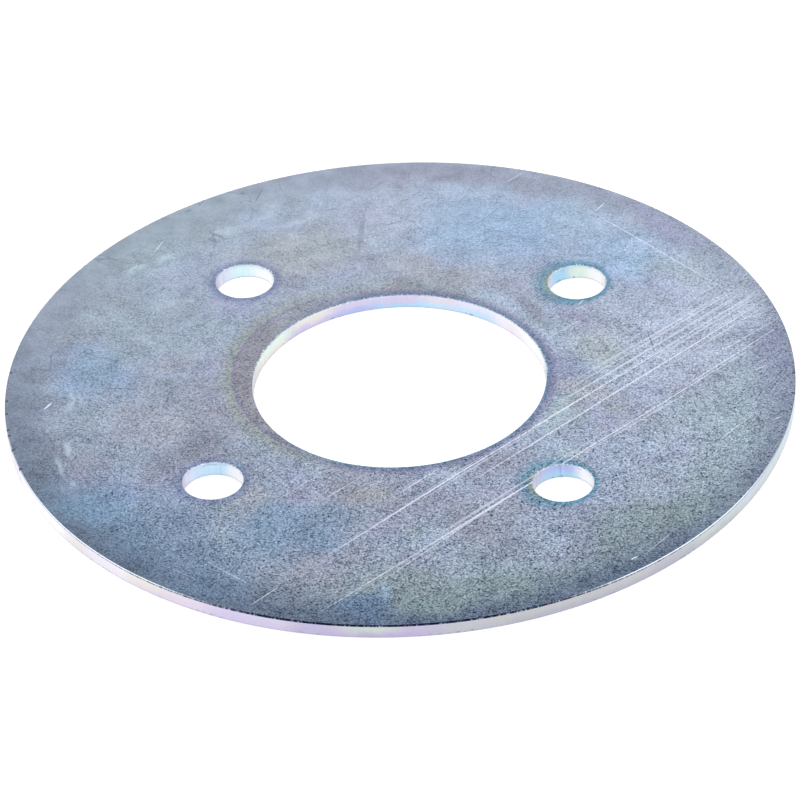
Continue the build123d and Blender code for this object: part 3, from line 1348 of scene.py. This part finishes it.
@dataclass
class MountingPlate:
    """The plate: a sheet disc with a central bore and a ring of bolt holes.

    Attributes:
        outer_radius: Radius of the disc.
        thickness: Thickness of the sheet.
        bore_radius: Radius of the bore.
        bolt_circle_radius: Radius of the ring of holes.
        hole_radius: Radius of a bolt hole.
        hole_count: Number of bolt holes.
        first_hole_angle: Angle of the first hole from +X.
    """

    outer_radius: float
    thickness: float
    bore_radius: float
    bolt_circle_radius: float
    hole_radius: float
    hole_count: int
    first_hole_angle: float = math.radians(45)
    rim_lips: Lips = Lips(0.15 * MM, 0.1 * MM, 4, 0.02 * MM)
    hole_lips: Lips = Lips(0.1 * MM, 0.1 * MM, 3, 0.05 * MM)
    nick_depth: float = 0.12 * MM
    nick_width: float = 0.5 * MM
    weld: float = 0.001 * MM
    outer_steps: int = 1440
    bore_steps: int = 1280
    seam_steps: int = 20
    face_rows: int = 4
    wall_steps: int = 3
    rim_seed: int = 1
    bore_seed: int = 2
    first_hole_seed: int = 3

    @property
    def half_sector(self) -> float:
        """Half the angle between two bolt holes."""
        return math.pi / self.hole_count

    def profile(self, lips: Lips) -> tuple[np.ndarray, np.ndarray, np.ndarray]:
        """Edge profile from the upper face to the lower one.

        Two quarter circles, of the upper and the lower lip, with a straight wall between.

        Args:
            lips: Rounding of the two edges.

        Returns:
            Inset from the wall, height, and roughness of the edge from 0 to 1.
        """
        quarter = np.linspace(0, np.pi / 2, lips.steps + 1)
        wall = np.linspace(self.thickness - lips.upper, lips.lower, self.wall_steps + 1)[1:-1]
        inset = np.concatenate([
            lips.upper * (1 - np.sin(quarter)), 0 * wall, lips.lower * (1 - np.cos(quarter)),
        ])
        height = np.concatenate([
            self.thickness - lips.upper * (1 - np.cos(quarter)), wall, lips.lower * (1 - np.sin(quarter)),
        ])
        bulge = np.sin(2 * quarter)
        return inset, height, np.concatenate([bulge, 0 * wall + lips.wall_burr, lips.lower_burr * bulge])

    def rim(self, centre: complex, radius: float, angles: np.ndarray, kind: Rim, seed: int) -> np.ndarray:
        """Carry the edge profile round a circle.

        A point lies at the circle's radius, less the profile's inset and plus a fine burr
        that is greatest half way round each lip and nothing where the lip meets a face. The
        outer rim also has small nicks, which are bell curves of the angle.

        Args:
            centre: Centre of the circle, as x + iy.
            radius: Radius of the wall.
            angles: Angles of the rim's columns.
            kind: Which way the wall faces.
            seed: Seed of the burr.

        Returns:
            Points as rows of the profile by columns by three.
        """
        lips = self.rim_lips if kind is Rim.OUTSIDE else self.hole_lips
        inset, height, rough = self.profile(lips)
        finest = len(angles) // 2
        burr = lips.burr * ripple(angles, finest // lips.burr_range, finest, seed)
        if kind is Rim.OUTSIDE:
            turn = np.angle(np.exp(1j * (angles[:, None] - np.radians(RIM_NICKS))))
            burr -= self.nick_depth * np.exp(-(turn * radius / self.nick_width) ** 2).sum(axis=1)
        reach = radius - kind.value * (inset[:, None] - rough[:, None] * burr[None, :])
        spot = centre + reach * np.exp(1j * angles)[None, :]
        return np.stack([spot.real, spot.imag, np.broadcast_to(height[:, None], spot.shape)], axis=-1)

    def sector_outline(self, inner: float, outer: float) -> tuple[np.ndarray, np.ndarray]:
        """Outline of the part of the sheet that belongs to one bolt hole, in polar form.

        It runs along the bore, out along one seam, back along the rim and in along the other seam.

        Args:
            inner: Radius at the bore.
            outer: Radius at the rim.

        Returns:
            Radius and angle of each point, with the hole's centre at angle nought.
        """
        half = self.half_sector
        along_bore = np.linspace(-half, half, self.bore_steps // self.hole_count, endpoint=False)
        along_rim = np.linspace(half, -half, self.outer_steps // self.hole_count, endpoint=False)
        seam = np.linspace(inner, outer, self.seam_steps, endpoint=False)
        seam_back = np.linspace(outer, inner, self.seam_steps, endpoint=False)
        radius = np.concatenate([0 * along_bore + inner, seam, 0 * along_rim + outer, seam_back])
        angle = np.concatenate([along_bore, 0 * seam + half, along_rim, 0 * seam_back - half])
        return radius, angle

    def hole_columns(self) -> np.ndarray:
        """Angles round a bolt hole at which its rim has columns: one towards each outline point.

        Returns:
            Angles about the hole's own centre, with nought pointing away from the plate's centre.
        """
        radius, angle = self.sector_outline(self.bore_radius, self.outer_radius)
        return np.angle(radius * np.exp(1j * angle) - self.bolt_circle_radius)

    def face_sector(self, side: Face, turn: float) -> np.ndarray:
        """One hole's part of a flat face.

        In polar form, a point moves in a straight line from the hole's edge to the outline
        as the second parameter goes from nought to one.

        Args:
            side: Upper or lower face.
            turn: Angle of the hole's centre.

        Returns:
            Points as rows from hole to outline by columns by three.
        """
        upper = side is Face.UPPER
        rim_lip = self.rim_lips.upper if upper else self.rim_lips.lower
        hole_lip = self.hole_lips.upper if upper else self.hole_lips.lower
        edge = self.bolt_circle_radius + (self.hole_radius + hole_lip) * np.exp(1j * self.hole_columns())
        radius, angle = self.sector_outline(self.bore_radius + hole_lip, self.outer_radius - rim_lip)
        share = np.linspace(0, 1, self.face_rows)[:, None]
        radii = (1 - share) * np.abs(edge) + share * radius
        angles = (1 - share) * np.angle(edge) + share * angle + turn
        height = self.thickness if upper else 0.0
        return np.stack([radii * np.cos(angles), radii * np.sin(angles), 0 * radii + height], axis=-1)

    def surfaces(self) -> list[tuple[np.ndarray, Slot]]:
        """Work out all the plate's surfaces.

        Returns:
            Each surface's points and its material.
        """
        start = self.first_hole_angle - self.half_sector
        rim_angles = start + np.linspace(0, 2 * np.pi, self.outer_steps, endpoint=False)
        bore_angles = start + np.linspace(0, 2 * np.pi, self.bore_steps, endpoint=False)
        parts = [
            (self.rim(0, self.outer_radius, rim_angles, Rim.OUTSIDE, self.rim_seed), Slot.CUT_EDGE),
            (self.rim(0, self.bore_radius, bore_angles, Rim.HOLE, self.bore_seed), Slot.CUT_EDGE),
        ]
        for number in range(self.hole_count):
            turn = self.first_hole_angle + 2 * self.half_sector * number
            centre = self.bolt_circle_radius * np.exp(1j * turn)
            columns = self.hole_columns() + turn
            wall = self.rim(centre, self.hole_radius, columns, Rim.HOLE, self.first_hole_seed + number)
            parts.append((wall, Slot.CUT_EDGE))
            parts.append((self.face_sector(Face.UPPER, turn), Slot.UPPER_FACE))
            parts.append((self.face_sector(Face.LOWER, turn), Slot.LOWER_FACE))
        return parts

    def build(self) -> Object:
        """Make the plate's mesh from its faces and rims.

        Returns:
            The plate, closed and with its faces outwards.
        """
        points, quads, slots = [], [], []
        count = 0
        for surface, slot in self.surfaces():
            rows, columns, _ = surface.shape
            points.append(surface.reshape(-1, 3))
            quads.append(grid_quads(rows, columns, count))
            slots.append(np.full(len(quads[-1]), slot, dtype=np.int32))
            count += rows * columns
        slots = np.concatenate(slots)

        mesh = bpy.data.meshes.new("zinc_plated_plate")
        mesh.from_pydata(np.concatenate(points), [], np.concatenate(quads))
        mesh.polygons.foreach_set("material_index", slots)
        mesh.polygons.foreach_set("use_smooth", slots == Slot.CUT_EDGE)
        work = bmesh.new()
        work.from_mesh(mesh)
        bmesh.ops.remove_doubles(work, verts=work.verts, dist=self.weld)
        bmesh.ops.recalc_face_normals(work, faces=work.faces)
        work.to_mesh(mesh)
        work.free()
        plate = bpy.data.objects.new("zinc_plated_plate", mesh)
        bpy.context.scene.collection.objects.link(plate)
        return plate

    def dress(self, plate: Object) -> None:
        """Give the plate its finishes, in the order of its slots.

        Args:
            plate: The plate's object.
        """
        sizes = {
            "rim_radius_mm": self.outer_radius * PER_MM,
            "bore_radius_mm": self.bore_radius * PER_MM,
            "hole_offset_mm": self.bolt_circle_radius * math.cos(self.first_hole_angle) * PER_MM,
            "hole_radius_mm": self.hole_radius * PER_MM,
        }
        edge = CutEdge(self.thickness * PER_MM, self.outer_radius * PER_MM)
        for finish in (PlatedFace(Face.UPPER, **sizes), edge, PlatedFace(Face.LOWER, **sizes)):
            plate.data.materials.append(finish.material())


@dataclass(frozen=True)
class Softbox:
    """A square soft lamp that points at the plate.

    Attributes:
        name: Its name.
        spot: Where it stands.
        size: Length of its side.
        power: Its power in watts.
    """

    name: str
    spot: tuple[float, float, float]
    size: float
    power: float

    def switch_on(self) -> None:
        """Add the lamp to the scene."""
        lamp = bpy.data.objects.new(self.name, bpy.data.lights.new(self.name, "AREA"))
        lamp.data.size = self.size
        lamp.data.energy = self.power
        lamp.location = self.spot
        lamp.rotation_euler = Vector(self.spot).to_track_quat("Z", "Y").to_euler()
        bpy.context.scene.collection.objects.link(lamp)


@dataclass(frozen=True)
class Studio:
    """Pale floor, soft light and the photograph's camera.

    Attributes:
        azimuth: Camera's angle round the plate from the front, in degrees.
        elevation: Its angle above the plate, in degrees.
        roll: Its turn about the line of sight, in degrees.
        distance: Its distance from the aim point.
        aim_right: Aim point's offset to the right in the picture.
        aim_up: Aim point's offset upwards in the picture.
        lens_mm: Focal length, for a sensor 36 mm wide.
    """

    azimuth: float = 5.589
    elevation: float = 35.878
    roll: float = -3.019
    distance: float = 1.03235
    aim_right: float = -0.0001
    aim_up: float = -0.0042
    lens_mm: float = 229.42
    sensor_mm: float = 36.0
    floor_half_size: float = 6.0
    floor_gap: float = 0.05 * MM
    floor_tint: str = "#C8C8C8"
    floor_roughness: float = 0.9
    floor_lift: float = 0.62
    # tent: strength at its foot, lower part and top, and the elevations between which it changes
    horizon_light: float = 0.7
    horizon_up_to: float = 20.0
    low_light: float = 1.24
    high_light: float = 0.6
    low_light_up_to: float = 30.0
    high_light_from: float = 65.0
    softboxes: tuple[Softbox, ...] = (
        Softbox("right_softbox", (0.75, -0.12, 0.62), 1.0, 1.8),
        Softbox("left_softbox", (-0.80, -0.10, 0.50), 0.8, 1.0),
    )

    def place_camera(self, target: Vector) -> None:
        """Set the camera up.

        Args:
            target: The point that the angles are measured about.
        """
        turn, rise, roll = map(math.radians, (self.azimuth, self.elevation, self.roll))
        back = Vector((math.sin(turn) * math.cos(rise), -math.cos(turn) * math.cos(rise), math.sin(rise)))
        right = Vector((math.cos(turn), math.sin(turn), 0))
        up = back.cross(right)
        rolled_right = math.cos(roll) * right + math.sin(roll) * up
        rolled_up = math.cos(roll) * up - math.sin(roll) * right
        spot = target + self.distance * back + self.aim_right * right + self.aim_up * up
        camera = bpy.data.objects.new("camera", bpy.data.cameras.new("camera"))
        camera.data.lens = self.lens_mm
        camera.data.sensor_width = self.sensor_mm
        axes = Matrix((rolled_right, rolled_up, back)).transposed()
        camera.matrix_world = Matrix.Translation(spot) @ axes.to_4x4()
        bpy.context.scene.collection.objects.link(camera)
        bpy.context.scene.camera = camera

    def light_room(self) -> None:
        """Light the room: a white tent that dims towards its top and foot, and a softbox on each side."""
        scene = bpy.context.scene
        scene.view_settings.view_transform = "Standard"
        scene.world = bpy.data.worlds.new("white_tent")
        scene.world.use_nodes = True
        tree = scene.world.node_tree
        rise = add_node(tree, "SeparateXYZ", {0: add_node(tree, "TexCoord", output="Generated")}, "Z")
        foot_top, low_top, high_start = (
            math.sin(math.radians(angle))
            for angle in (self.horizon_up_to, self.low_light_up_to, self.high_light_from)
        )
        upper = Fade(low_top, high_start, self.low_light, self.high_light)
        strength = add_node(tree, "MapRange", upper.of(rise), **SMOOTH)
        foot = add_node(tree, "MapRange", Fade(0.0, foot_top, self.horizon_light).of(rise), **SMOOTH)
        background = tree.nodes["Background"]
        background.inputs["Color"].default_value = WHITE
        tree.links.new(overlap(tree, strength, foot), background.inputs["Strength"])
        for softbox in self.softboxes:
            softbox.switch_on()

    def lay_floor(self) -> None:
        """Lay a pale floor of matt paper, lifted to white for the camera and for reflections."""
        half = self.floor_half_size
        corners = [(-half, -half, 0), (half, -half, 0), (half, half, 0), (-half, half, 0)]
        mesh = bpy.data.meshes.new("pale_floor")
        mesh.from_pydata(corners, [], [(0, 1, 2, 3)])
        floor = bpy.data.objects.new("pale_floor", mesh)
        floor.location.z = -self.floor_gap
        bpy.context.scene.collection.objects.link(floor)
        material = bpy.data.materials.new("pale_matt_paper")
        material.use_nodes = True
        tree = material.node_tree
        shader = tree.nodes["Principled BSDF"]
        shader.inputs["Base Color"].default_value = linear(self.floor_tint)
        shader.inputs["Roughness"].default_value = self.floor_roughness
        shader.inputs["Specular IOR Level"].default_value = 0.0
        shader.inputs["Emission Color"].default_value = WHITE
        seen = add_node(tree, "LightPath", output="Is Camera Ray")
        rays = seen.node.outputs
        for ray in ("Is Glossy Ray", "Is Transmission Ray"):
            seen = add_node(tree, "Math", {0: seen, 1: rays[ray]}, operation="ADD")
        lift = add_node(tree, "MapRange", Fade(0.0, 1.0, high=self.floor_lift).of(seen))
        tree.links.new(lift, shader.inputs["Emission Strength"])
        mesh.materials.append(material)


def plate_from_record() -> MountingPlate:
    """Read the plate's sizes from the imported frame.

    Returns:
        The plate, with its radii and thickness.
    """
    mounts = {mount["name"]: mount["dims"] for mount in frame["record"]["mounts"]}
    low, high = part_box("mounting_plate")
    bolts = mounts["bolt_holes"]
    return MountingPlate(
        outer_radius=(high.x - low.x) / 2,
        thickness=high.z - low.z,
        bore_radius=mounts["centre_bore"]["r_mm"] * MM,
        bolt_circle_radius=bolts["pcd_mm"] / 2 * MM,
        hole_radius=bolts["hole_r_mm"] * MM,
        hole_count=bolts["count"],
    )


def main() -> None:
    """Build the plate, dress it, and set up the studio."""
    logging.basicConfig(level=logging.INFO, format="%(name)s: %(message)s")
    plate = plate_from_record()
    piece = plate.build()
    plate.dress(piece)
    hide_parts("mounting_plate")
    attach(piece, "root")
    log.info("plate: %d points, %d faces", len(piece.data.vertices), len(piece.data.polygons))

    studio = Studio()
    studio.place_camera(Vector((0, 0, plate.thickness)))
    studio.light_room()
    studio.lay_floor()
    log.info("studio: camera, softboxes and floor in place")


if __name__ == "__main__":
    main()
